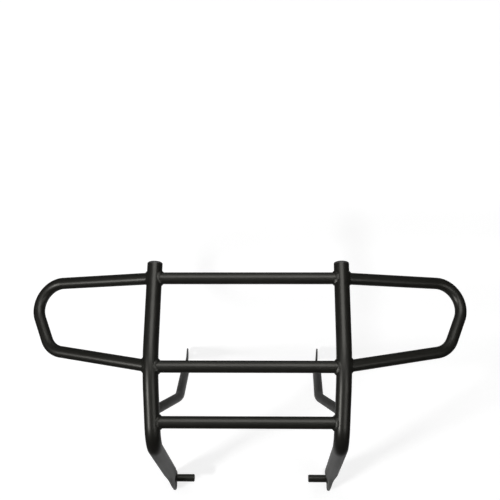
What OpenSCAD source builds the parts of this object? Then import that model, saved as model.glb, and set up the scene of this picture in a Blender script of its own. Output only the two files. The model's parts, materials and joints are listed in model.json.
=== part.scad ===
// Front grille guard: a welded round tube frame with two side loops,
// two bent feet with inward pins and two rear braces with bolt tabs.
// It is laid face up, on its foot ends and brace tabs. Millimetres.

/* [Tubes] */
// outside diameter of the two uprights
upright_od = 32; // [28:1:42]
// outside diameter of the crossbars and the side loops
bar_od = 25; // [20:1:34]
// outside diameter of the rear braces
brace_od = 20; // [16:1:25]
// wall thickness of every tube
wall = 2; // [1.5:0.1:3]

/* [Uprights] */
// half of the distance between the upright centres, from the middle crossbar up
upright_x = 196; // [150:0.5:260]
// height of the middle crossbar above the foot pins, as mounted
middle_z = 321; // [250:1:400]
// distance of the middle crossbar in front of the foot pins, as mounted
middle_y = 370; // [250:1:450]
// backward lean of the uprights above the middle crossbar, degrees
upper_lean = 21; // [0:0.5:35]
// length of an upright above the middle crossbar, with its cap
upper_length = 222; // [180:0.5:300]
// centreline radius of the slight bend at the middle crossbar
middle_bend_r = 300; // [250:10:400]

/* [Feet] */
// half of the distance between the foot centres
foot_x = 189.5; // [150:0.5:260]
// height of the lower bend corner above the foot pins
bend_z = 163.5; // [120:0.5:220]
// distance of the lower bend corner in front of the foot pins
bend_y = 371; // [250:0.5:450]
// centreline radius of the lower bend
bend_r = 58; // [40:1:90]
// length of the round-to-flat change of a foot
foot_press = 84; // [30:1:110]
// length of the flat foot end
foot_flat = 52; // [40:1:100]
// distance of the pin from the end of the foot
foot_edge = 43; // [20:0.5:60]
// width of the flat foot end
foot_w = 48; // [36:1:60]
// thickness of the flat foot end
foot_t = 9; // [4:0.5:14]
// corner radius of the flat foot end
foot_corner = 7; // [3:1:20]

/* [Foot pins] */
// diameter of a foot pin
pin_d = 18; // [12:0.5:25]
// length of a foot pin from the face of the foot
pin_length = 46.5; // [20:0.5:80]
// chamfer on the free end of a pin
pin_chamfer = 1.5; // [0.5:0.1:3]
// depth of the neck that the weld holds
pin_neck = 1; // [0.5:0.1:2]
// leg of the weld around a pin
pin_weld = 4; // [2:0.5:6]

/* [Crossbars] */
// distance of the top crossbar above the middle one, along the upright
top_rise = 188; // [140:1:240]
// distance of the bottom crossbar below the middle one, along the upright
bottom_drop = 112.5; // [80:0.5:140]

/* [Side loops] */
// backward sweep of a side loop, degrees
loop_sweep = 20.5; // [0:0.5:35]
// reach of a side loop at half of its height
loop_reach = 260.5; // [150:0.5:350]
// rise of the upper tube of a loop, degrees
loop_upper_rise = 4; // [-5:0.1:15]
// rise of the lower tube of a loop, degrees
loop_lower_rise = 12.8; // [0:0.1:25]
// outward lean of the end of a loop, degrees
loop_lean = 24.5; // [0:0.5:35]
// centreline radius of the loop bends
loop_bend_r = 53; // [35:1:90]

/* [Rear braces] */
// distance of a brace joint below the middle crossbar, along the upright
brace_drop = 92; // [50:1:100]
// half of the distance between the brace bends
brace_bend_x = 153; // [120:0.5:200]
// distance of the brace bend in front of the foot pins
brace_bend_y = 209; // [150:0.5:300]
// height of the brace bend above the foot pins
brace_bend_z = 233.5; // [180:0.5:300]
// outward angle of the rear run of a brace, degrees
brace_splay = 1.6; // [-3:0.1:6]
// upward angle of the rear run of a brace, degrees
brace_climb = 10.4; // [0:0.1:20]
// length of the rear run of a brace, from its bend to its end
brace_run = 324; // [250:1:450]
// centreline radius of the brace bend
brace_bend_r = 110; // [40:5:160]
// length of the round-to-flat change of a brace
tab_press = 36; // [20:1:60]
// length of the flat tab
tab_flat = 84; // [28:1:120]
// outward turn of the flat tab from the run of the brace, degrees
tab_turn = 2.5; // [0:0.1:6]
// width of the flat tab
tab_w = 29; // [22:1:40]
// corner radius of the flat tab
tab_corner = 7; // [2:0.5:14]
// diameter of the bolt hole in a tab
tab_hole_d = 9; // [6:0.5:13]
// distance of the bolt hole from the end of the tab
tab_edge = 16; // [10:0.5:25]

/* [Caps and welds] */
// thickness of the cap on top of an upright
cap_head = 4.5; // [3:0.5:8]
// rounding of the cap edge
cap_round = 1.5; // [1:0.5:4]
// depth of the cap plug inside the upright
cap_plug = 12; // [6:1:25]
// radial clearance of the cap plug
cap_gap = 0.15; // [0.1:0.05:0.4]
// size of the weld beads at the tube joints
weld = 4.5; // [3:0.5:7]
// colour of the coated steel
coat = "#33322e"; // [#33322e, #2b2b2b, #44433e]
// colour of the end caps
cap_colour = "#262624"; // [#262624, #1c1c1c]

/* [Hidden] */
around = 64;
$fn = around;
bend_steps = 360;
bead_from = 0.3;
bead_to = 2.2;
lengthwise = 0.9;
over = 2;
stretch = 45;
step = 0.2;
swell = 0.05;
weld_hollow = 0.42;
bite = 0.5;
inward = [-1, 0, 0];
upright_r = upright_od / 2;
bar_r = bar_od / 2;
brace_r = brace_od / 2;
pin_r = pin_d / 2;
neck_r = pin_r - pin_neck;
tab_t = 2 * wall;

function unit(v) = v / norm(v);
function on(p, d, s) = p + d * s;

// direction of the upper part of an upright, and the normal behind it
up = [0, sin(upper_lean), cos(upper_lean)];
behind = [0, cos(upper_lean), -sin(upper_lean)];

// corners of the upright, as mounted, with the foot pins at height zero
middle_p = [upright_x, -middle_y, middle_z];
bend_p = [foot_x, -bend_y, bend_z];
pin_p = [foot_x, 0, 0];
foot_dir = unit(pin_p - bend_p);
lower_dir = unit(bend_p - middle_p);
foot_end_p = on(pin_p, foot_dir, foot_edge);
flat_p = on(foot_end_p, foot_dir, -foot_flat);
press_p = on(flat_p, foot_dir, -foot_press);
upright_top_p = on(middle_p, up, upper_length - cap_head);

// joints on the upright; the middle one is on the centreline of its slight bend
middle_turn = acos(-up * lower_dir);
joint_p = on(middle_p, unit(up + lower_dir), middle_bend_r * (1 / cos(middle_turn / 2) - 1));
top_p = on(middle_p, up, top_rise);
bottom_p = on(middle_p, lower_dir, bottom_drop);
brace_p = on(middle_p, lower_dir, brace_drop);

// corners of a side loop, in its own plane
reach_dir = [cos(loop_sweep), 0, 0] + sin(loop_sweep) * behind;
lean_t = tan(loop_lean);
upper_t = tan(loop_upper_rise);
lower_t = tan(loop_lower_rise);
loop_out_upper = (loop_reach + lean_t * top_rise / 2) / (1 - lean_t * upper_t);
loop_out_lower = (loop_reach - lean_t * top_rise / 2) / (1 - lean_t * lower_t);
loop_upper_p = top_p + loop_out_upper * (reach_dir + upper_t * up);
loop_lower_p = middle_p + loop_out_lower * (reach_dir + lower_t * up);

// corners of a brace
brace_bend_p = [brace_bend_x, -brace_bend_y, brace_bend_z];
run_dir = unit([sin(brace_splay), cos(brace_splay) * cos(brace_climb), sin(brace_climb)]);
run_side = unit([cos(brace_splay), -sin(brace_splay), 0]);
tab_flat_p = on(brace_bend_p, run_dir, brace_run - tab_flat);
tab_press_p = on(tab_flat_p, run_dir, -tab_press);
tab_dir = cos(tab_turn) * run_dir + sin(tab_turn) * run_side;
tab_end_p = on(tab_flat_p, tab_dir, tab_flat);
tab_across = cross(run_dir, run_side);
foot_across = cross(foot_dir, [1, 0, 0]);

// the two corners that touch the ground give the resting tilt
foot_touch = on(on(foot_end_p, foot_dir, -foot_corner), foot_across, -(foot_w / 2 - foot_corner));
tab_touch = on(on(tab_end_p, tab_dir, -tab_corner), tab_across, tab_w / 2 - tab_corner);
touch = tab_touch - foot_touch;
touch_len = sqrt(touch[1] * touch[1] + touch[2] * touch[2]);
rest_angle = acos((foot_corner - tab_corner) / touch_len) - atan2(touch[2], touch[1]);
down_y = cos(rest_angle);
down_z = -sin(rest_angle);
lift = foot_touch[1] * down_y + foot_touch[2] * down_z + foot_corner;

// length of the resting guard, for the origin under its middle
ahead_y = sin(rest_angle);
ahead_z = cos(rest_angle);
cap_tilt = upper_lean - rest_angle;
cap_ring_p = on(upright_top_p, up, cap_head - cap_round);
far_y = cap_ring_p[1] * ahead_y + cap_ring_p[2] * ahead_z
    + (upright_r - cap_round) * sin(abs(cap_tilt)) + cap_round;
foot_low = on(on(foot_end_p, foot_dir, -foot_corner), foot_across, foot_w / 2 - foot_corner);
near_y = foot_low[1] * ahead_y + foot_low[2] * ahead_z - foot_corner;
middle_shift = (far_y + near_y) / 2;

// part to draw, or all

// lays the mounted guard down on its feet and tabs
module laid() {
    translate([0, -middle_shift, lift])
        rotate([rest_angle - 90, 0, 0])
            children();
}

module left() {
    laid()
        mirror([1, 0, 0])
            children();
}

module right() {
    laid()
        children();
}

// local axes: z along dir, x along side
module facing(p, dir, side) {
    y_axis = cross(dir, side);
    multmatrix([
        [side[0], y_axis[0], dir[0], p[0]],
        [side[1], y_axis[1], dir[1], p[1]],
        [side[2], y_axis[2], dir[2], p[2]],
        [0, 0, 0, 1]])
        children();
}

// any unit vector square to dir
function square_to(dir) = unit(cross(dir, abs(dir[0]) < lengthwise ? [1, 0, 0] : [0, 1, 0]));

// cross-section of a tube, or of a solid rod where bore is zero
module section(r, bore) {
    difference() {
        circle(r = r, $fn = around);
        if (bore > 0) circle(r = bore, $fn = around);
    }
}

function turn(a, b, c) = acos(unit(b - a) * unit(c - b));
function tangent(a, b, c, br) = br * tan(turn(a, b, c) / 2);

// direction of the inside of a bend, square to the first leg
function inside(d1, d2) = unit(d2 - (d1 * d2) * d1);

// where the inside direction of a bend points after the bend
function carried(d1, d2) = unit(d2 * (d1 * d2) - d1);

// roll about dir that takes one direction to another
function roll(from, to, dir) = atan2(cross(from, to) * dir, from * to);

// straight leg along local z, reaching into the bends before and after it;
// its children follow at its end
module leg(length, r, bore = 0, before = 0, after = 0) {
    translate([0, 0, -before])
        linear_extrude(height = length + before + after)
            section(r, bore);
    translate([0, 0, length])
        children();
}

// bend from local z toward local x, a hair thicker than its legs, which end inside its wall;
// its children follow at its end
module bend(angle, br, r, bore = 0) {
    translate([br, 0, 0]) {
        rotate([90, 0, 180])
            rotate_extrude(angle = angle, $fn = bend_steps)
                translate([br, 0])
                    section(r + swell, bore - swell);
        rotate([0, angle, 0])
            translate([-br, 0, 0])
                children();
    }
}

// solid rod from a to b
module straight(a, b, r) {
    dir = unit(b - a);
    facing(a, dir, square_to(dir))
        leg(norm(b - a), r);
}

// run with one bend, at b; children follow at c, with local x along side
module one_bend(a, b, c, br, side, r, bore) {
    d1 = unit(b - a);
    d2 = unit(c - b);
    t = tangent(a, b, c, br);
    facing(a, d1, inside(d1, d2))
        leg(norm(b - a) - t, r, bore, after = bite)
            bend(turn(a, b, c), br, r, bore)
                leg(norm(c - b) - t, r, bore, before = bite)
                    rotate([0, 0, roll(carried(d1, d2), side, d2)])
                        children();
}

// run with bends at b and c; children follow at d, with local x along side
module two_bends(a, b, c, d, br1, br2, side, r, bore) {
    d1 = unit(b - a);
    d2 = unit(c - b);
    d3 = unit(d - c);
    t1 = tangent(a, b, c, br1);
    t2 = tangent(b, c, d, br2);
    facing(a, d1, inside(d1, d2))
        leg(norm(b - a) - t1, r, bore, after = bite)
            bend(turn(a, b, c), br1, r, bore)
                leg(norm(c - b) - t1 - t2, r, bore, before = bite, after = bite)
                    rotate([0, 0, roll(carried(d1, d2), inside(d2, d3), d2)])
                        bend(turn(b, c, d), br2, r, bore)
                            leg(norm(d - c) - t2, r, bore, before = bite)
                                rotate([0, 0, roll(carried(d2, d3), side, d3)])
                                    children();
}

// plate with two rounded corners at its far end, in the y-z plane of its local axes
module flat_end(length, w, t, corner) {
    translate([t / 2, 0, 0])
        rotate([0, -90, 0])
            linear_extrude(height = t)
                union() {
                    translate([0, -w / 2])
                        square([length - corner, w]);
                    translate([0, corner - w / 2])
                        square([length, w - 2 * corner]);
                    translate([length - corner, w / 2 - corner])
                        circle(r = corner);
                    translate([length - corner, corner - w / 2])
                        circle(r = corner);
                }
}

// round tube end pressed to a plate: a widening cone between two closing faces,
// rooted in the tube's wall and a hair larger than the plate it ends in
module pressed(r, length, w, t) {
    thick = t / 2 + step;
    intersection() {
        translate([0, 0, -bite])
            cylinder(h = length + bite, r1 = r - step, r2 = w / 2 + 2 * step);
        rotate([90, 0, 0])
            linear_extrude(height = 2 * w, center = true)
                polygon([[-r - 2 * step, -bite], [r + 2 * step, -bite], [thick, length], [-thick, length]]);
    }
}

// the stretch of an upright around the top crossbar, as a solid
module top_stretch(r) {
    straight(top_p - up * stretch, top_p + up * stretch, r);
}

// the stretch of an upright around the middle crossbar, as a solid
module middle_stretch(r) {
    start = on(middle_p, up, tangent(upright_top_p, middle_p, bend_p, middle_bend_r));
    facing(start, -up, inside(-up, lower_dir))
        bend(turn(upright_top_p, middle_p, bend_p), middle_bend_r, r);
}

// the stretch of an upright around the bottom crossbar and the brace, as a solid
module lower_stretch(r) {
    start = on(brace_p, lower_dir, -stretch);
    length = norm(bend_p - start) - tangent(middle_p, bend_p, pin_p, bend_r);
    facing(start, lower_dir, inside(lower_dir, foot_dir))
        leg(length, r, after = bite)
            bend(turn(middle_p, bend_p, pin_p), bend_r, r);
}

module upright() {
    color(coat)
        two_bends(upright_top_p, middle_p, bend_p, press_p, middle_bend_r, bend_r, [1, 0, 0],
            upright_r, upright_r - wall)
            union() {
                pressed(upright_r, foot_press, foot_w, foot_t);
                translate([0, 0, foot_press - bite])
                    flat_end(foot_flat + bite, foot_w, foot_t, foot_corner);
            }
}

// tube between the two uprights at joint p, cut to fit them
module crossbar(p) {
    color(coat)
        difference() {
            translate([-p[0], p[1], p[2]])
                rotate([0, 90, 0])
                    leg(2 * p[0], bar_r, bar_r - wall);
            children();
            mirror([1, 0, 0])
                children();
        }
}

module side_loop() {
    color(coat)
        difference() {
            two_bends(top_p, loop_upper_p, loop_lower_p, joint_p, loop_bend_r, loop_bend_r, up,
                bar_r, bar_r - wall);
            top_stretch(upright_r);
            middle_stretch(upright_r);
        }
}

// drilled flat tab, from just inside the pressed part of its brace
module tab() {
    difference() {
        translate([0, 0, -bite])
            flat_end(tab_flat + bite, tab_w, tab_t, tab_corner);
        translate([0, 0, tab_flat - tab_edge])
            rotate([0, 90, 0])
                cylinder(h = 2 * tab_t, d = tab_hole_d, center = true);
    }
}

module rear_brace() {
    color(coat)
        difference() {
            one_bend(brace_p, brace_bend_p, tab_press_p, brace_bend_r, run_side,
                brace_r, brace_r - wall)
                union() {
                    pressed(brace_r, tab_press, tab_w, tab_t);
                    translate([0, 0, tab_press])
                        rotate([0, tab_turn, 0])
                            tab();
                }
            lower_stretch(upright_r);
        }
}

// solid pin pointing inward from the face of the foot, necked where the weld holds it
module foot_pin() {
    color(coat)
        translate(pin_p - [foot_t / 2, 0, 0])
            rotate([0, -90, 0])
                rotate_extrude()
                    polygon([[0, 0], [neck_r, 0], [neck_r, pin_weld], [pin_r, pin_weld],
                        [pin_r, pin_length - pin_chamfer], [pin_r - pin_chamfer, pin_length],
                        [0, pin_length]]);
}

module weld_pin() {
    color(coat)
        translate(pin_p - [foot_t / 2, 0, 0])
            rotate([0, -90, 0])
                rotate_extrude()
                    polygon([[neck_r, 0], [pin_r + pin_weld, 0],
                        [pin_r + pin_weld * weld_hollow, pin_weld * weld_hollow],
                        [pin_r, pin_weld], [neck_r, pin_weld]]);
}

// rounded cap with a plug inside the tube
module top_cap() {
    plug_r = upright_r - wall - cap_gap;
    color(cap_colour)
        facing(upright_top_p, up, [1, 0, 0])
            union() {
                rotate_extrude()
                    union() {
                        square([upright_r - cap_round, cap_head]);
                        square([upright_r, cap_head - cap_round]);
                        intersection() {
                            translate([upright_r - cap_round, cap_head - cap_round])
                                circle(r = cap_round);
                            square([upright_r, cap_head]);
                        }
                    }
                translate([0, 0, -cap_plug])
                    cylinder(h = cap_plug, r = plug_r);
            }
}

// weld bead where a tube from p toward q, of radius r, leaves the upright.
// The first child is that stretch of the upright, the second is the same with the weld around it.
module bead(p, q, r) {
    dir = unit(q - p);
    near = on(p, dir, upright_r * bead_from);
    far = on(p, dir, upright_r * bead_to);
    color(coat)
        difference() {
            intersection() {
                children(1);
                straight(near, far, r + weld);
            }
            children(0);
            straight(p, on(far, dir, over), r);
        }
}

module weld_top(q) {
    bead(top_p, q, bar_r) {
        top_stretch(upright_r);
        top_stretch(upright_r + weld);
    }
}

module weld_middle(q) {
    bead(joint_p, q, bar_r) {
        middle_stretch(upright_r);
        middle_stretch(upright_r + weld);
    }
}

module weld_bottom() {
    bead(bottom_p, bottom_p + inward, bar_r) {
        lower_stretch(upright_r);
        straight(bottom_p - lower_dir * stretch, bottom_p + lower_dir * stretch, upright_r + weld);
    }
}

// this bead ends against the one around the bottom crossbar
module weld_brace() {
    color(coat)
        difference() {
            bead(brace_p, brace_bend_p, brace_r) {
                lower_stretch(upright_r);
                straight(brace_p - lower_dir * stretch, brace_p + lower_dir * stretch,
                    upright_r + weld);
            }
            straight(bottom_p, bottom_p + inward * stretch, bar_r + weld);
        }
}

left() upright();  // upright_left
right() upright();  // upright_right
right() crossbar(top_p) top_stretch(upright_r);  // crossbar_top
right() crossbar(joint_p) middle_stretch(upright_r);  // crossbar_middle
right() crossbar(bottom_p) lower_stretch(upright_r);  // crossbar_bottom
left() side_loop();  // side_loop_left
right() side_loop();  // side_loop_right
left() rear_brace();  // rear_brace_left
right() rear_brace();  // rear_brace_right
left() foot_pin();  // foot_pin_left
right() foot_pin();  // foot_pin_right
left() top_cap();  // top_cap_left
right() top_cap();  // top_cap_right
left() weld_top(top_p + inward);  // weld_top_bar_left
right() weld_top(top_p + inward);  // weld_top_bar_right
left() weld_middle(joint_p + inward);  // weld_middle_bar_left
right() weld_middle(joint_p + inward);  // weld_middle_bar_right
left() weld_bottom();  // weld_bottom_bar_left
right() weld_bottom();  // weld_bottom_bar_right
left() weld_top(loop_upper_p);  // weld_loop_upper_left
right() weld_top(loop_upper_p);  // weld_loop_upper_right
left() weld_middle(loop_lower_p);  // weld_loop_lower_left
right() weld_middle(loop_lower_p);  // weld_loop_lower_right
left() weld_brace();  // weld_brace_left
right() weld_brace();  // weld_brace_right
left() weld_pin();  // weld_pin_left
right() weld_pin();  // weld_pin_right
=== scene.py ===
"""Front grille guard, laid face up: powder-coated round tube with modelled welds."""

import json
import math
import random

import bpy
from mathutils import Matrix, Vector
from mathutils.bvhtree import BVHTree


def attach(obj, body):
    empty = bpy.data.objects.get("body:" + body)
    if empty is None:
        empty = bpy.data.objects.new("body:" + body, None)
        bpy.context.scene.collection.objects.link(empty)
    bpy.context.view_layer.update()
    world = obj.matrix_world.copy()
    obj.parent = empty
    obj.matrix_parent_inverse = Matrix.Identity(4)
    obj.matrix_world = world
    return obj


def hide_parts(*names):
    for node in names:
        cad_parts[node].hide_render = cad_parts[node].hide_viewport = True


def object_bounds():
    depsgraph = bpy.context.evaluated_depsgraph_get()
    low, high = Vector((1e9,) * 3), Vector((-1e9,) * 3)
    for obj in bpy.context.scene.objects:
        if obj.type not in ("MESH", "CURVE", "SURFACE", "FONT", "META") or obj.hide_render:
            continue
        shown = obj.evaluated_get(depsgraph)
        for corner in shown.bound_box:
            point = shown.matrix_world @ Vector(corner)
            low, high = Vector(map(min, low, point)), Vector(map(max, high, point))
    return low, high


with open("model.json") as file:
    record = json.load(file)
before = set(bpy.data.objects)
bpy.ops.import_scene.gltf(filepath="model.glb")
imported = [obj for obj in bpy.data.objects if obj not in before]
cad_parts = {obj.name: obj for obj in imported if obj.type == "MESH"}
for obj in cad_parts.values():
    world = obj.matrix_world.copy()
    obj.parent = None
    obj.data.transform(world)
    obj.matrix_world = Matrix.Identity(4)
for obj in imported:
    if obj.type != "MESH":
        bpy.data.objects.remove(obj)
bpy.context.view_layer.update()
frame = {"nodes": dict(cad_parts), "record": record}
random.seed(7)

MM = 0.001
SIDES = {"left": -1, "right": 1}

# ---------------------------------------------------------------- sizes, as mounted, in metres
UPRIGHT_R = 16 * MM
BAR_R = 12.5 * MM
BRACE_R = 10 * MM
PIN_R = 9 * MM
WALL = 2 * MM
PLATE_T = 2 * WALL

UPRIGHT_X = 196 * MM
MIDDLE = Vector((UPRIGHT_X, -370 * MM, 321 * MM))
UPPER_LEAN = math.radians(21)
UPRIGHT_TOP = 217.5 * MM
MIDDLE_BEND_R = 300 * MM
FOOT_X = 189.5 * MM
LOWER_CORNER = Vector((FOOT_X, -371 * MM, 163.5 * MM))
LOWER_BEND_R = 58 * MM
FOOT_PIN = Vector((FOOT_X, 0, 0))
FOOT_EDGE = 43 * MM
FOOT_FLAT = 52 * MM
FOOT_PRESS = 84 * MM
FOOT_W = 48 * MM
FOOT_T = 9 * MM
FOOT_CORNER = 7 * MM

TOP_RISE = 188 * MM
BOTTOM_DROP = 112.5 * MM
BRACE_DROP = 92 * MM
LOOP_SWEEP = math.radians(20.5)
LOOP_REACH = 260.5 * MM
LOOP_UPPER_RISE = math.radians(4)
LOOP_LOWER_RISE = math.radians(12.8)
LOOP_LEAN = math.radians(24.5)

BRACE_CORNER = Vector((153 * MM, -209 * MM, 233.5 * MM))
BRACE_SPLAY = math.radians(1.6)
BRACE_CLIMB = math.radians(10.4)
BRACE_RUN = 324 * MM
BRACE_BEND_R = 110 * MM
TAB_PRESS = 36 * MM
TAB_FLAT = 84 * MM
TAB_TURN = math.radians(2.5)
TAB_TURN_R = 60 * MM
TAB_W = 29 * MM
TAB_CORNER = 7 * MM
TAB_HOLE_R = 4.5 * MM
TAB_EDGE = 16 * MM

ACROSS = Vector((1, 0, 0))
INWARD = Vector((-1, 0, 0))
UP = Vector((0, math.sin(UPPER_LEAN), math.cos(UPPER_LEAN)))
BEHIND = Vector((0, math.cos(UPPER_LEAN), -math.sin(UPPER_LEAN)))
LOWER_DIR = (LOWER_CORNER - MIDDLE).normalized()
FOOT_DIR = (FOOT_PIN - LOWER_CORNER).normalized()
FOOT_END = FOOT_PIN + FOOT_DIR * FOOT_EDGE
MIDDLE_TURN = (-UP).angle(LOWER_DIR)
# where the axis of the middle crossbar meets the upright's centre line, inside its slight bend
MIDDLE_JOINT = MIDDLE + ((UP + LOWER_DIR).normalized()
                         * MIDDLE_BEND_R * (1 / math.cos(MIDDLE_TURN / 2) - 1))
TOP = MIDDLE + UP * TOP_RISE
BOTTOM = MIDDLE + LOWER_DIR * BOTTOM_DROP
BRACE_ROOT = MIDDLE + LOWER_DIR * BRACE_DROP
RUN_DIR = Vector((math.sin(BRACE_SPLAY), math.cos(BRACE_SPLAY) * math.cos(BRACE_CLIMB),
                  math.sin(BRACE_CLIMB))).normalized()
RUN_SIDE = Vector((math.cos(BRACE_SPLAY), -math.sin(BRACE_SPLAY), 0)).normalized()
TAB_ROOT = BRACE_CORNER + RUN_DIR * (BRACE_RUN - TAB_FLAT)
TAB_DIR = RUN_DIR * math.cos(TAB_TURN) + RUN_SIDE * math.sin(TAB_TURN)
TAB_SIDE = RUN_SIDE * math.cos(TAB_TURN) - RUN_DIR * math.sin(TAB_TURN)
BRACE_END = TAB_ROOT + TAB_DIR * TAB_FLAT
TAB_HOLE = BRACE_END - TAB_DIR * TAB_EDGE


def loop_corners():
    """The two corners of the right side loop."""
    out = math.cos(LOOP_SWEEP) * ACROSS + math.sin(LOOP_SWEEP) * BEHIND
    lean, upper, lower = math.tan(LOOP_LEAN), math.tan(LOOP_UPPER_RISE), math.tan(LOOP_LOWER_RISE)
    far_upper = (LOOP_REACH + lean * TOP_RISE / 2) / (1 - lean * upper)
    far_lower = (LOOP_REACH - lean * TOP_RISE / 2) / (1 - lean * lower)
    return (TOP + far_upper * (out + upper * UP), MIDDLE + far_lower * (out + lower * UP))


# ---------------------------------------------------------------- from mounted to laid down
def rest_matrix():
    """The mounted frame's place in the row frame, from the record's pin and tab hole."""
    mounts = {m["name"]: Vector(m["pos_m"]) for m in frame["record"]["mounts"]}
    pin, hole = mounts["pin_right"], mounts["tab_hole_right"]
    laid = math.atan2(hole.z - pin.z, hole.y - pin.y)
    stood = math.atan2(TAB_HOLE.z, TAB_HOLE.y)
    return Matrix.Translation((0, pin.y, pin.z)) @ Matrix.Rotation(laid - stood, 4, "X")


REST = rest_matrix()

# ---------------------------------------------------------------- mesh helpers
ARC_STEPS = 28
SMOOTH_BELOW = 35
TINY = 1e-12
# the bevel at a pressed end, and the share of the pressing that runs straight, not eased
BEVEL = 0.5 * MM
STRAIGHT_SHARE = 0.6
# the sections close to a pressed end: the first one's distance from it, in pitches, before it
# shrinks by TIP_SHRINK at every step
TIP_START = 1.5
TIP_SHRINK = 0.62
TIP_STEPS = 8
# the room in front of those sections and the smallest step, in pitches, and the largest step
TIP_ROOM = 0.2
STEP_MIN = 0.25
STEP_MAX = 6 * MM


def bent_line(points, radii):
    """Centre points along a polyline whose inner corners are rounded."""
    line = [points[0]]
    for before, corner, after, radius in zip(points, points[1:], points[2:], radii):
        d1 = (corner - before).normalized()
        d2 = (after - corner).normalized()
        angle = d1.angle(d2)
        start = corner - d1 * radius * math.tan(angle / 2)
        inner = (d2 - d1 * d1.dot(d2)).normalized()
        centre = start + inner * radius
        for i in range(ARC_STEPS + 1):
            a = angle * i / ARC_STEPS
            line.append(centre - inner * radius * math.cos(a) + d1 * radius * math.sin(a))
    line.append(points[-1])
    return line


def reaches(line):
    """The distance along the line from its start to each of its points."""
    reach = [0]
    for a, b in zip(line, line[1:]):
        reach.append(reach[-1] + (b - a).length)
    return reach


def section_axes(line, side):
    """The x and y axes of the section at each point. side leads the last x axis."""
    count = len(line)
    dirs = [(line[min(i + 1, count - 1)] - line[max(i - 1, 0)]).normalized() for i in range(count)]
    x_axis = (side - dirs[-1] * side.dot(dirs[-1])).normalized()
    axes = [x_axis]
    for i in range(count - 2, -1, -1):
        turn = dirs[i + 1].rotation_difference(dirs[i])
        x_axis = turn @ x_axis
        x_axis = (x_axis - dirs[i] * x_axis.dot(dirs[i])).normalized()
        axes.append(x_axis)
    axes.reverse()
    return [(x, d.cross(x)) for x, d in zip(axes, dirs)]


def circle_at(t, radius):
    """Point on a circle at the share t of its turn from +x."""
    return Vector((math.cos(t * math.tau), math.sin(t * math.tau))) * radius


def stadium_at(t, half_w, half_t):
    """Point on a stadium outline, long along y, at the share t of its turn from +x."""
    flat = half_w - half_t
    total = 4 * flat + math.tau * half_t
    s = (t % 1) * total
    quarter = math.pi / 2 * half_t
    for sx, sy, start in ((1, 1, 0), (-1, 1, 1), (-1, -1, 2), (1, -1, 3)):
        span = flat + quarter
        if s <= span + TINY or start == 3:
            if start % 2:
                s = span - s
            if s < flat:
                x, y = half_t, s
            else:
                a = (s - flat) / half_t
                x, y = half_t * math.cos(a), flat + half_t * math.sin(a)
            return Vector((sx * x, sy * y))
        s -= span


def smooth_step(x):
    """x from 0 to 1, eased in and out."""
    return x * x * (3 - 2 * x)


def make_object(name, verts, faces, material, mirror, smooth_below=SMOOTH_BELOW):
    """A mesh object from mounted-frame points, on the given side, riding on the one body."""
    mesh = bpy.data.meshes.new(name)
    place = REST @ Matrix.Diagonal((mirror, 1, 1, 1))
    if mirror < 0:
        faces = [f[::-1] for f in faces]
    mesh.from_pydata([place @ v for v in verts], [], faces)
    mesh.validate()
    mesh.materials.append(material)
    mesh.shade_smooth()
    mesh.set_sharp_from_angle(angle=math.radians(smooth_below))
    obj = bpy.data.objects.new(name, mesh)
    bpy.context.scene.collection.objects.link(obj)
    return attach(obj, "root")


def loft(sections):
    """Vertices and faces of rings of equal length, closed at both ends."""
    around = len(sections[0])
    last = (len(sections) - 1) * around
    verts = [v for ring in sections for v in ring]
    faces = []
    for low in range(0, last, around):
        high = low + around
        for j in range(around):
            k = (j + 1) % around
            faces.append((low + j, low + k, high + k, high + j))
    faces.append(tuple(range(around))[::-1])
    faces.append(tuple(last + j for j in range(around)))
    return verts, faces


def pressed_tube(line, side, radius, press, flat, width, thick, corner, around):
    """A round tube along line whose end is pressed to a plate with rounded corners."""
    reach = reaches(line)
    sections = []
    for p, (x, y), s in zip(line, section_axes(line, side), reach):
        left = reach[-1] - s
        done = min(max((press + flat - left) / press, 0), 1)
        pressed = STRAIGHT_SHARE * done + (1 - STRAIGHT_SHARE) * smooth_step(done)
        bevel = max(BEVEL - left, 0)
        half_w = width / 2
        if left < corner:
            half_w += math.sqrt(max(corner ** 2 - (corner - left) ** 2, 0)) - corner
        half_w -= bevel
        half_t = thick / 2 - bevel
        ring = []
        for j in range(around):
            t = j / around
            q = circle_at(t, radius).lerp(stadium_at(t, half_w, half_t), pressed)
            ring.append(p + x * q.x + y * q.y)
        sections.append(ring)
    return loft(sections)


def end_steps(line, length, pitch):
    """The line with finer steps over its last length, and finest at the very end."""
    reach = reaches(line)
    total = reach[-1]
    tip = [total - TIP_START * pitch * TIP_SHRINK ** i for i in range(1, TIP_STEPS + 1)]
    stops = [s for s in reach if s < tip[0] - TIP_ROOM * pitch]
    count = math.ceil((length - (total - tip[0])) / pitch)
    stops += [tip[0] - i * pitch for i in range(1, count)]
    stops.sort()
    kept = [stops[0]]
    for s in stops[1:]:
        gap = s - kept[-1]
        if gap > STEP_MIN * pitch:
            steps = math.ceil(gap / STEP_MAX)
            kept += [s - gap * (steps - i) / steps for i in range(1, steps + 1)]
    points = []
    leg = 0
    for s in kept + tip + [total]:
        while leg < len(line) - 2 and s > reach[leg + 1]:
            leg += 1
        share = (s - reach[leg]) / (reach[leg + 1] - reach[leg])
        points.append(line[leg].lerp(line[leg + 1], share))
    return points


# ---------------------------------------------------------------- materials
# each noise is its features per metre, its detail and its roughness
MOTTLE = (38, 5, 0.55)
CLOUD = (7, 3, 0.5)
SPECK = (1400, 2, 0.6)
ORANGE_PEEL = (620, 3, 0.5)
SCUFF = (150, 5, 0.65)
CAP_GRAIN = (1800, 2, 0.5)
CAP_WEAR = (90, 5, 0.6)
FLOOR_CLOUD = (3, 4, 0.5)

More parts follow.
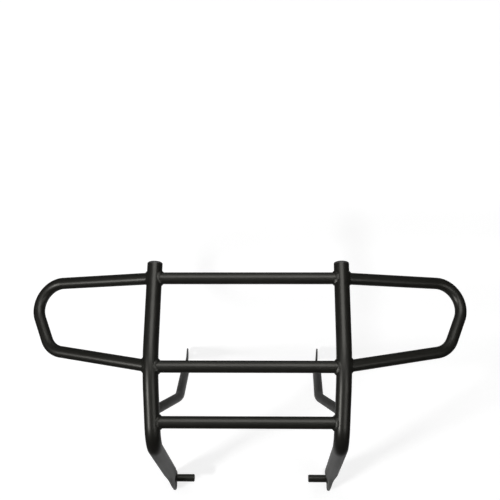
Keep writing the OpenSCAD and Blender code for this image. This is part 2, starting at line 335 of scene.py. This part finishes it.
# each ramp is the value where it starts, the value where it ends, and its greys at the two
MOTTLE_RAMP = (0.35, 0.7, 0, 1)
SPECK_RAMP = (0.62, 0.78, 0, 0.35)
CLOUD_RAMP = (0.3, 0.7, 0, 1)
SCUFFED_EDGE_RAMP = (0.42, 0.62, 0, 1)
SCUFFED_GLOSS_RAMP = (0.58, 0.75, 0, 0.5)
CAP_COLOUR_RAMP = (0.4, 0.75, 0, 1)
CAP_ROUGH_RAMP = (0.3, 0.7, 0.5, 0.62)
# these two get their greys where they are used
EDGE_SPAN = (0.57, 0.68)
FLOOR_SPAN = (0.3, 0.7)

# the coating's colours
BLACK = (0.0085, 0.0083, 0.0070)
DUSTY = (0.0115, 0.0113, 0.0098)
RUBBED = (0.05, 0.049, 0.045)
BEAD_BLACK = (0.0082, 0.0080, 0.0068)
BEAD_RUBBED = (0.06, 0.059, 0.055)
WARM_SHEEN = (1, 0.985, 0.92, 1)

# the coating's roughness, and how far clouds and scuffs change it
TUBE_ROUGH = 0.385
BEAD_ROUGH = 0.38
CLOUD_GLOSS = 0.025
SCUFF_GLOSS = 0.09
COAT_SPECULAR = 0.42

# the strength of the orange peel's bumps and the specks' share of it, and how high each is
TUBE_PEEL = 0.30
BEAD_PEEL = 0.38
SPECK_SHARE = 0.6
PEEL_HEIGHT = 0.12 * MM
SPECK_HEIGHT = 0.04 * MM
# how much of the rubbed colour a high edge shows
EDGE_WEAR = 0.55

CAP_BLACK = (0.021, 0.021, 0.020)
CAP_RUBBED = (0.040, 0.039, 0.037)
CAP_BUMP = 0.25
CAP_GRAIN_HEIGHT = 0.06 * MM

FLOOR_UNEVEN = 0.01
FLOOR_ROUGH = 0.85
FLOOR_SPECULAR = 0.1
# the grey reflected floor's painted pool of light: its tone dims away from this point
PAINTED_LIGHT_CENTRE = (0, -0.15, 0)


def noise(tree, coords, kind):
    """Noise in the object's own metres."""
    made = tree.nodes.new("ShaderNodeTexNoise")
    for socket, value in zip(("Scale", "Detail", "Roughness"), kind):
        made.inputs[socket].default_value = value
    tree.links.new(coords, made.inputs["Vector"])
    return made.outputs["Fac"]


def grey(tone):
    return (tone, tone, tone)


def ramp(tree, value, start, end, low, high):
    """A grey that runs from low to high while value runs from start to end."""
    made = tree.nodes.new("ShaderNodeValToRGB")
    for element, place, tone in zip(made.color_ramp.elements, (start, end), (low, high)):
        element.position = place
        element.color = (*grey(tone), 1)
    tree.links.new(value, made.inputs["Fac"])
    return made.outputs["Color"]


def mix(tree, factor, a, b, blend="MIX"):
    """Two colours mixed by the factor, where each of the three is a socket or a plain value."""
    made = tree.nodes.new("ShaderNodeMix")
    made.data_type = "RGBA"
    made.blend_type = blend
    for socket, value in ((made.inputs[0], factor), (made.inputs[6], a), (made.inputs[7], b)):
        if isinstance(value, (int, float)):
            socket.default_value = value
        elif isinstance(value, tuple):
            socket.default_value = (*value, 1)
        else:
            tree.links.new(value, socket)
    return made.outputs[2]


def bump(tree, height, strength, distance, normal=None):
    """Bumps of a noise's height, on top of those in normal."""
    made = tree.nodes.new("ShaderNodeBump")
    made.inputs["Strength"].default_value = strength
    made.inputs["Distance"].default_value = distance
    tree.links.new(height, made.inputs["Height"])
    if normal:
        tree.links.new(normal, made.inputs["Normal"])
    return made.outputs["Normal"]


def new_material(name):
    """A new material, its node tree, its shader and the object's own coordinates."""
    material = bpy.data.materials.new(name)
    material.use_nodes = True
    tree = material.node_tree
    coords = tree.nodes.new("ShaderNodeTexCoord").outputs["Object"]
    return material, tree, tree.nodes["Principled BSDF"], coords


def coated_material(name, base, rubbed, rough, peel, edge_wear=EDGE_WEAR):
    """Satin powder coat: fine orange peel, faint mottling, dust and worn high edges."""
    material, tree, shader, coords = new_material(name)
    mottle = noise(tree, coords, MOTTLE)
    cloud = noise(tree, coords, CLOUD)
    speck = noise(tree, coords, SPECK)
    orange = noise(tree, coords, ORANGE_PEEL)
    scuff = noise(tree, coords, SCUFF)

    colour = mix(tree, ramp(tree, mottle, *MOTTLE_RAMP), base, DUSTY)
    colour = mix(tree, ramp(tree, speck, *SPECK_RAMP), colour, rubbed)
    high = tree.nodes.new("ShaderNodeNewGeometry").outputs["Pointiness"]
    edge = ramp(tree, high, *EDGE_SPAN, 0, edge_wear)
    edge = mix(tree, 1, edge, ramp(tree, scuff, *SCUFFED_EDGE_RAMP), "MULTIPLY")
    colour = mix(tree, edge, colour, rubbed)
    tree.links.new(colour, shader.inputs["Base Color"])

    gloss = mix(tree, ramp(tree, cloud, *CLOUD_RAMP),
                grey(rough - CLOUD_GLOSS), grey(rough + CLOUD_GLOSS))
    gloss = mix(tree, ramp(tree, scuff, *SCUFFED_GLOSS_RAMP), gloss, grey(rough + SCUFF_GLOSS))
    tree.links.new(gloss, shader.inputs["Roughness"])
    shader.inputs["Specular IOR Level"].default_value = COAT_SPECULAR
    shader.inputs["Specular Tint"].default_value = WARM_SHEEN

    skin = bump(tree, orange, peel, PEEL_HEIGHT)
    skin = bump(tree, speck, peel * SPECK_SHARE, SPECK_HEIGHT, skin)
    tree.links.new(skin, shader.inputs["Normal"])
    return material


def cap_material():
    """Moulded black plastic: finer, flatter and a little lighter where it is rubbed."""
    material, tree, shader, coords = new_material("cap_plastic")
    grain = noise(tree, coords, CAP_GRAIN)
    wear = noise(tree, coords, CAP_WEAR)
    colour = mix(tree, ramp(tree, wear, *CAP_COLOUR_RAMP), CAP_BLACK, CAP_RUBBED)
    tree.links.new(colour, shader.inputs["Base Color"])
    tree.links.new(ramp(tree, wear, *CAP_ROUGH_RAMP), shader.inputs["Roughness"])
    tree.links.new(bump(tree, grain, CAP_BUMP, CAP_GRAIN_HEIGHT), shader.inputs["Normal"])
    return material


def floor_material(name, tone, glow, painted_light_fade=None):
    """Plain matt floor, with a very slight unevenness of tone and a glow that fills its shadows;
    where a fade is given, its tone also carries a painted pool of light that dims away from a
    centre.
    """
    material, tree, shader, coords = new_material(name)
    cloud = noise(tree, coords, FLOOR_CLOUD)
    colour = ramp(tree, cloud, *FLOOR_SPAN, tone - FLOOR_UNEVEN, tone + FLOOR_UNEVEN)
    # painted light: the tone is multiplied down with the distance from a centre, a pool of light
    # painted on the floor
    if painted_light_fade:
        away = tree.nodes.new("ShaderNodeVectorMath")
        away.operation = "DISTANCE"
        tree.links.new(coords, away.inputs[0])
        away.inputs[1].default_value = PAINTED_LIGHT_CENTRE
        colour = mix(tree, 1, colour, ramp(tree, away.outputs["Value"], *painted_light_fade), "MULTIPLY")
    tree.links.new(colour, shader.inputs["Base Color"])
    shader.inputs["Roughness"].default_value = FLOOR_ROUGH
    shader.inputs["Specular IOR Level"].default_value = FLOOR_SPECULAR
    shader.inputs["Emission Color"].default_value = (1, 1, 1, 1)
    shader.inputs["Emission Strength"].default_value = glow
    return material


TUBE = coated_material("coated_tube", BLACK, RUBBED, TUBE_ROUGH, TUBE_PEEL)
# crossbars and side loops have no free edge that could be rubbed
BAR = coated_material("coated_bar", BLACK, RUBBED, TUBE_ROUGH, TUBE_PEEL, edge_wear=0)
WELD = coated_material("coated_weld", BEAD_BLACK, BEAD_RUBBED, BEAD_ROUGH, BEAD_PEEL)
CAP = cap_material()

# ---------------------------------------------------------------- uprights and braces
UPRIGHT_AROUND = 72
BRACE_AROUND = 60
# how far the finer steps start before the pressing does, and their pitch
UPRIGHT_LEAD = 10 * MM
UPRIGHT_PITCH = 3 * MM
BRACE_LEAD = 8 * MM
BRACE_PITCH = 2.5 * MM
DRILL_AROUND = 48
DRILL_LENGTH = 4 * PLATE_T


def drill(obj, centre, direction, radius):
    """Cuts a round hole through obj; centre and direction are in the row frame."""
    turn = Vector((0, 0, 1)).rotation_difference(direction).to_matrix()
    rings = []
    for z in (-DRILL_LENGTH / 2, DRILL_LENGTH / 2):
        rings.append([centre + turn @ Vector((radius * math.cos(math.tau * i / DRILL_AROUND),
                                              radius * math.sin(math.tau * i / DRILL_AROUND), z))
                      for i in range(DRILL_AROUND)])
    verts, faces = loft(rings)
    mesh = bpy.data.meshes.new("drill")
    mesh.from_pydata(verts, [], faces)
    cutter = bpy.data.objects.new("drill", mesh)
    bpy.context.scene.collection.objects.link(cutter)
    cut = obj.modifiers.new("hole", "BOOLEAN")
    cut.operation = "DIFFERENCE"
    cut.solver = "EXACT"
    cut.object = cutter
    bpy.context.view_layer.update()
    graph = bpy.context.evaluated_depsgraph_get()
    done = bpy.data.meshes.new_from_object(obj.evaluated_get(graph))
    obj.modifiers.clear()
    obj.data = done
    bpy.data.objects.remove(cutter)


def make_upright(side):
    """The bent upright with its pressed foot."""
    corners = [MIDDLE + UP * UPRIGHT_TOP, MIDDLE, LOWER_CORNER, FOOT_END]
    line = bent_line(corners, [MIDDLE_BEND_R, LOWER_BEND_R])
    line = end_steps(line, FOOT_FLAT + FOOT_PRESS + UPRIGHT_LEAD, UPRIGHT_PITCH)
    verts, faces = pressed_tube(line, ACROSS, UPRIGHT_R, FOOT_PRESS, FOOT_FLAT,
                                FOOT_W, FOOT_T, FOOT_CORNER, UPRIGHT_AROUND)
    name = "upright_" + side
    obj = make_object("coated_" + name, verts, faces, TUBE, SIDES[side])
    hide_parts(name)
    return obj


def make_brace(side):
    """The thin rear brace with its pressed and drilled tab."""
    line = bent_line([BRACE_ROOT, BRACE_CORNER, TAB_ROOT, BRACE_END], [BRACE_BEND_R, TAB_TURN_R])
    line = end_steps(line, TAB_FLAT + TAB_PRESS + BRACE_LEAD, BRACE_PITCH)
    verts, faces = pressed_tube(line, TAB_SIDE, BRACE_R, TAB_PRESS, TAB_FLAT,
                                TAB_W, PLATE_T, TAB_CORNER, BRACE_AROUND)
    name = "rear_brace_" + side
    obj = make_object("coated_" + name, verts, faces, TUBE, SIDES[side])
    mirror = Matrix.Diagonal((SIDES[side], 1, 1, 1))
    through = (REST.to_3x3() @ mirror.to_3x3() @ TAB_SIDE).normalized()
    drill(obj, REST @ mirror @ TAB_HOLE, through, TAB_HOLE_R)
    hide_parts(name)
    return obj


# ---------------------------------------------------------------- weld beads
WELD_LEG = 4.1 * MM
PIN_WELD_LEG = 4 * MM
# how far out along the joined tube the rays start that look for the upright
RAY_START = 60 * MM
PIN_RAY_START = 30 * MM
# a tube steeper than this gets its section's axes from Y, not from Z
STEEP = 0.8
# the length of a ripple, the rings in it, and the steps across the bead
RIPPLE = 2.3 * MM
RIPPLE_RINGS = 10
PROFILE_STEPS = 12
# how deep the bead's two edges run into the tubes
SINK = 0.35 * MM
# the leg wanders by some waves around the tube, and has a lump where the bead starts and ends
WAVES = 4
SLOWEST_WAVE = 2
WANDER = 0.13
LUMP = 0.14
LUMP_ANGLE = 0.16
# the bead's crown and its ridges, as shares of the leg, and how round and bowed the ridges are
CROWN = 0.06
RIDGE = 0.04
RIDGE_ROUND = 1.6
RIDGE_BOW = 0.5
BEAD_SMOOTH_BELOW = 60


def surface_tree(obj, side):
    """The obj's surface, back in the mounted frame of the right side."""
    back = (REST @ Matrix.Diagonal((SIDES[side], 1, 1, 1))).inverted()
    mesh = obj.data
    return BVHTree.FromPolygons([back @ v.co for v in mesh.vertices],
                                [tuple(p.vertices) for p in mesh.polygons])


def weld_verts(tree, root, direction, radius, leg, ray_start):
    """Rings of a rippled fillet weld where a round bar leaves the surface in tree."""
    direction = direction.normalized()
    helper = Vector((0, 0, 1)) if abs(direction.z) < STEEP else Vector((0, 1, 0))
    e1 = direction.cross(helper).normalized()
    e2 = direction.cross(e1)
    turns = round(math.tau * radius / RIPPLE) * RIPPLE_RINGS
    phases = [random.uniform(0, math.tau) for _ in range(WAVES)]
    start = random.uniform(0, math.tau)
    rings = []
    along = 0
    last = None
    for i in range(turns):
        a = math.tau * i / turns
        out = math.cos(a) * e1 + math.sin(a) * e2
        hit, normal, _, _ = tree.ray_cast(root + out * radius + direction * ray_start, -direction)
        if hit is None:
            raise RuntimeError("a weld ray missed its tube")
        if last is not None:
            along += (hit - last).length
        last = hit
        if normal.dot(direction) < 0:
            normal = -normal
        away = (out - normal * out.dot(normal)).normalized()
        waves = [math.sin(a * (n + SLOWEST_WAVE) + phases[n]) for n in range(WAVES)]
        wander = sum(waves) / WAVES
        gap = (a - start + math.pi) % math.tau - math.pi
        size = leg * (1 + WANDER * wander + LUMP * math.exp(-(gap / LUMP_ANGLE) ** 2))
        toe_low = tree.find_nearest(hit + away * size)[0] - normal * SINK
        toe_high = hit + direction * size - out * SINK
        bulge = (normal + out).normalized()
        ring = []
        for j in range(PROFILE_STEPS + 1):
            t = j / PROFILE_STEPS
            crescent = along / RIPPLE + RIDGE_BOW * (2 * t - 1) ** 2
            ridge = abs((crescent % 1) - 0.5) * 2
            body = math.sin(math.pi * t)
            height = size * (CROWN * body) + RIDGE * size * body ** 0.5 * (1 - ridge ** RIDGE_ROUND)
            ring.append(toe_low.lerp(toe_high, t) + bulge * height)
        rings.append(ring)
    return rings


def make_weld(name, side, tree, root, direction, radius, leg=WELD_LEG, ray_start=RAY_START):
    """One closed bead around a joint."""
    rings = weld_verts(tree, root, direction, radius, leg, ray_start)
    rows, steps = len(rings), PROFILE_STEPS + 1
    verts = [v for ring in rings for v in ring]
    faces = []
    for i in range(rows):
        k = (i + 1) % rows
        for j in range(steps):
            m = (j + 1) % steps
            faces.append((i * steps + j, k * steps + j, k * steps + m, i * steps + m))
    node_name = f"{name}_{side}"
    obj = make_object("bead_" + node_name, verts, faces, WELD, SIDES[side], BEAD_SMOOTH_BELOW)
    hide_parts(node_name)
    return obj


def make_side(side):
    """One side's upright and brace, and the seven beads on the upright."""
    upright = make_upright(side)
    make_brace(side)
    tree = surface_tree(upright, side)
    loop_upper, loop_lower = loop_corners()
    make_weld("weld_top_bar", side, tree, TOP, INWARD, BAR_R)
    make_weld("weld_middle_bar", side, tree, MIDDLE_JOINT, INWARD, BAR_R)
    make_weld("weld_bottom_bar", side, tree, BOTTOM, INWARD, BAR_R)
    make_weld("weld_loop_upper", side, tree, TOP, loop_upper - TOP, BAR_R)
    make_weld("weld_loop_lower", side, tree, MIDDLE_JOINT, loop_lower - MIDDLE_JOINT, BAR_R)
    make_weld("weld_brace", side, tree, BRACE_ROOT, BRACE_CORNER - BRACE_ROOT, BRACE_R)
    make_weld("weld_pin", side, tree, FOOT_PIN, INWARD, PIN_R, PIN_WELD_LEG, PIN_RAY_START)


for which in SIDES:
    make_side(which)

# ---------------------------------------------------------------- nodes that keep their CAD mesh
KEPT = {"crossbar_top": BAR, "crossbar_middle": BAR, "crossbar_bottom": BAR,
        "side_loop_left": BAR, "side_loop_right": BAR,
        "foot_pin_left": TUBE, "foot_pin_right": TUBE,
        "top_cap_left": CAP, "top_cap_right": CAP}
for name, material in KEPT.items():
    obj = frame["nodes"][name]
    obj.data.materials.clear()
    obj.data.materials.append(material)

# ---------------------------------------------------------------- floor, light and camera
FLOOR_SIZE = 30
FLOOR_TONE = 0.38
FLOOR_GLOW = 0.775
BOUNCE_SIZE = 3
BOUNCE_LIFT = 0.2 * MM
BOUNCE_TONE = 0.62
# its tone carries a painted pool of light, fading over these distances from its centre, from all of
# its tone to a tenth
PAINTED_LIGHT_FADE = (0.2, 0.56, 1, 0.1)
BACKDROP_R = 0.49 * FLOOR_SIZE
BACKDROP_HEIGHT = 8
BACKDROP_STEPS = 96
BACKDROP_TONE = 0.05
BACKDROP_GLOW = 0.74
WORLD_STRENGTH = 0.012

# each softbox is its name, place, target, (width, height) and watts
SOFTBOXES = (
    ("key", (0, 1.24, 2.84), (0, 0.05, 0.45), (2.1, 1.9), 51),
    ("left_strip", (-3.55, -1.5, 3.75), (-0.1, -0.05, 0.45), (0.8, 0.4), 145),
    ("right_soft", (1.2, -0.6, 1.95), (0.1, -0.05, 0.45), (0.8, 1.1), 9),
    ("back_card", (0, 2.0, 0.9), (0, 0.05, 0.45), (1.2, 1.4), 3.5),
)

# the camera stands level in front of the mounted guard, a little to its right, turned back to it
CAMERA_PLACE = Vector((0.0484, -2.1072, 0.5516))
CAMERA_YAW = math.radians(1.39)
CAMERA_PITCH = math.radians(0.13)
CAMERA_ROLL = math.radians(-0.05)
CAMERA_LENS = 62.19
CAMERA_SENSOR = 36
CAMERA_FAR = 100


def stage_piece(name, verts, faces, material):
    """A piece of the studio, which isn't part of the guard."""
    mesh = bpy.data.meshes.new(name)
    mesh.from_pydata(verts, [], faces)
    mesh.materials.append(material)
    obj = bpy.data.objects.new(name, mesh)
    bpy.context.scene.collection.objects.link(obj)
    return obj


def flat_square(name, size, z, material):
    """A square facing up at height z."""
    half = size / 2
    verts = [(-half, -half, z), (half, -half, z), (half, half, z), (-half, half, z)]
    return stage_piece(name, verts, [(0, 1, 2, 3)], material)


def make_floor(z):
    """A white floor for the camera, and a grey one for what the coating reflects, with a painted
    pool of light in its tone.
    """
    white = floor_material("studio_floor", FLOOR_TONE, FLOOR_GLOW)
    seen = flat_square("floor", FLOOR_SIZE, z, white)
    seen.visible_diffuse = False
    seen.visible_glossy = False
    # the reflected floor's tone carries a painted pool of light around its centre
    dim = floor_material("floor_bounce", BOUNCE_TONE, 0, PAINTED_LIGHT_FADE)
    bounce = flat_square("floor_bounce", BOUNCE_SIZE, z + BOUNCE_LIFT, dim)
    bounce.visible_camera = False
    bounce.visible_shadow = False


def make_backdrop(floor_z):
    """A pale round wall at the floor's edge, which only the camera sees."""
    verts = []
    for z in (floor_z, floor_z + BACKDROP_HEIGHT):
        for j in range(BACKDROP_STEPS):
            a = math.tau * j / BACKDROP_STEPS
            verts.append((BACKDROP_R * math.cos(a), BACKDROP_R * math.sin(a), z))
    faces = []
    for j in range(BACKDROP_STEPS):
        k = (j + 1) % BACKDROP_STEPS
        faces.append((j, k, BACKDROP_STEPS + k, BACKDROP_STEPS + j))
    pale = floor_material("studio_backdrop", BACKDROP_TONE, BACKDROP_GLOW)
    wall = stage_piece("backdrop", verts, faces, pale)
    wall.visible_diffuse = False
    wall.visible_glossy = False
    wall.visible_shadow = False


def make_light(name, place, target, size, power):
    """A rectangular softbox of size (width, height) at place, facing target."""
    data = bpy.data.lights.new(name, "AREA")
    data.shape = "RECTANGLE"
    data.size, data.size_y = size
    data.energy = power
    obj = bpy.data.objects.new(name, data)
    obj.location = place
    obj.rotation_euler = (Vector(target) - Vector(place)).to_track_quat("-Z", "Y").to_euler()
    bpy.context.scene.collection.objects.link(obj)


def make_world():
    """A white surrounding that is almost dark."""
    world = bpy.data.worlds.new("studio")
    world.use_nodes = True
    background = world.node_tree.nodes["Background"]
    background.inputs["Color"].default_value = (1, 1, 1, 1)
    background.inputs["Strength"].default_value = WORLD_STRENGTH
    bpy.context.scene.world = world


def make_camera():
    """The camera, placed in the mounted frame and laid down together with the guard."""
    data = bpy.data.cameras.new("camera")
    data.lens = CAMERA_LENS
    data.sensor_width = CAMERA_SENSOR
    data.clip_end = CAMERA_FAR
    obj = bpy.data.objects.new("camera", data)
    level = Matrix.Rotation(math.radians(90) + CAMERA_PITCH, 4, "X")
    yaw = Matrix.Rotation(CAMERA_YAW, 4, "Z")
    roll = Matrix.Rotation(CAMERA_ROLL, 4, "Z")
    obj.matrix_world = REST @ Matrix.Translation(CAMERA_PLACE) @ yaw @ level @ roll
    bpy.context.scene.collection.objects.link(obj)
    bpy.context.scene.camera = obj


guard_low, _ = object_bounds()
make_floor(guard_low.z)
make_backdrop(guard_low.z)
for softbox in SOFTBOXES:
    make_light(*softbox)
make_world()
make_camera()
bpy.context.scene.view_settings.view_transform = "Standard"
